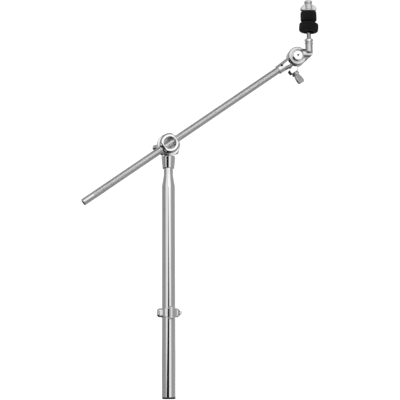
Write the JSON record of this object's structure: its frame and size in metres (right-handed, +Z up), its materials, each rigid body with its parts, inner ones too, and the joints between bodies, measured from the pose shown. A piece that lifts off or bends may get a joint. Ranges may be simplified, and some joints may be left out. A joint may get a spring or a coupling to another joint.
{
  "type": "cymbal boom stand",
  "caption": "Upper section of a cymbal boom stand: tube with memory lock, tilter, knurled sliding boom and a tilting cymbal rod with felts and nut.",
  "frame": {"origin": "centre of the down tube's foot, on its axis", "axes": "+Z up the down tube, +X the way the boom rises, -Y the front, where the boom crosses the tube"},
  "size_m": [0.4038, 0.0981, 0.6766],
  "materials": {
    "chrome": "polished chrome plate",
    "knurled_chrome": "fine knurl under chrome plate",
    "satin_metal": "satin silver",
    "zinc_steel": "bright zinc plate",
    "black_oxide": "black oxide on steel",
    "fibre": "matt black vulcanised fibre",
    "black_plastic": "moulded, faint grain",
    "black_felt": "pressed wool felt"
  },
  "bodies": {
    "down_tube": {"down_tube": "chrome", "tube_end_plug": "black_plastic", "base_roll_pin": "zinc_steel", "tilter_base": "chrome", "friction_washer": "fibre", "nut_washer": "zinc_steel", "release_spring": "zinc_steel"},
    "drum": {"drum_body": "chrome", "drum_back_plate": "chrome", "drum_screws": "zinc_steel", "clamp_cradle": "zinc_steel", "tilter_stud": "zinc_steel"},
    "wing_nut": {"tilter_wing_nut": "chrome"},
    "boom_tail": {"boom_tail_cap": "chrome"},
    "boom": {"boom_rod": "knurled_chrome", "boom_head": "chrome", "head_set_screw": "black_oxide", "wing_bolt_washer": "zinc_steel"},
    "wing_bolt": {"tilter_wing_bolt": "satin_metal"},
    "cymbal_arm": {"tilter_arm": "chrome", "arm_cap": "chrome", "hub_washer": "chrome", "hub_screw": "zinc_steel", "cymbal_rod": "chrome", "rod_lock_nut": "chrome"},
    "seat": {"cymbal_seat": "black_plastic"},
    "lower_felt": {"lower_felt": "black_felt"},
    "upper_felt": {"upper_felt": "black_felt"},
    "cymbal_nut": {"cymbal_nut": "satin_metal"},
    "memory_lock": {"memory_lock_ring": "chrome", "lock_pad": "fibre"},
    "lock_bolt": {"lock_key_bolt": "chrome"}
  },
  "joints": [
    {"name": "boom_tilt", "type": "hinge", "parent": "down_tube", "child": "drum", "pos_m": [0, 0, 0.4255], "axis": [0, -1, 0], "range_deg": [-99, 30]},
    {"name": "wing_nut_turn", "type": "hinge", "parent": "drum", "child": "wing_nut", "pos_m": [0, 0, 0.4255], "axis": [0, 1, 0], "continuous": true},
    {"name": "boom_slide", "type": "slide", "parent": "drum", "child": "boom_tail", "axis": [-0.8192, 0, -0.5736], "range_m": [-0.14, 0.18]},
    {"name": "boom_roll", "type": "hinge", "parent": "boom_tail", "child": "boom", "pos_m": [0, -0.0165, 0.4255], "axis": [0.8192, 0, 0.5736], "continuous": true},
    {"name": "cymbal_tilt", "type": "hinge", "parent": "boom", "child": "cymbal_arm", "pos_m": [0.22007, -0.0165, 0.5802], "axis": [0, -1, 0], "range_deg": [-85, 85]},
    {"name": "wing_bolt_turn", "type": "hinge", "parent": "boom", "child": "wing_bolt", "pos_m": [0.20573, -0.0165, 0.57016], "axis": [0.5736, 0, -0.8192], "continuous": true},
    {"name": "seat_lift", "type": "slide", "parent": "cymbal_arm", "child": "seat", "axis": [0, 0, 1], "range_m": [0, 0.055]},
    {"name": "lower_felt_lift", "type": "slide", "parent": "seat", "child": "lower_felt", "axis": [0, 0, 1], "range_m": [0, 0.04]},
    {"name": "upper_felt_lift", "type": "slide", "parent": "lower_felt", "child": "upper_felt", "axis": [0, 0, 1], "range_m": [0, 0.02]},
    {"name": "cymbal_nut_turn", "type": "hinge", "parent": "upper_felt", "child": "cymbal_nut", "pos_m": [0.23986, -0.0313, 0.5802], "axis": [0, 0, 1], "continuous": true},
    {"name": "lock_slide", "type": "slide", "parent": "down_tube", "child": "memory_lock", "axis": [0, 0, -1], "range_m": [-0.19, 0.11]},
    {"name": "lock_bolt_turn", "type": "hinge", "parent": "memory_lock", "child": "lock_bolt", "pos_m": [0, 0, 0.1422], "axis": [0.972, 0.2351, 0], "continuous": true}
  ]
}
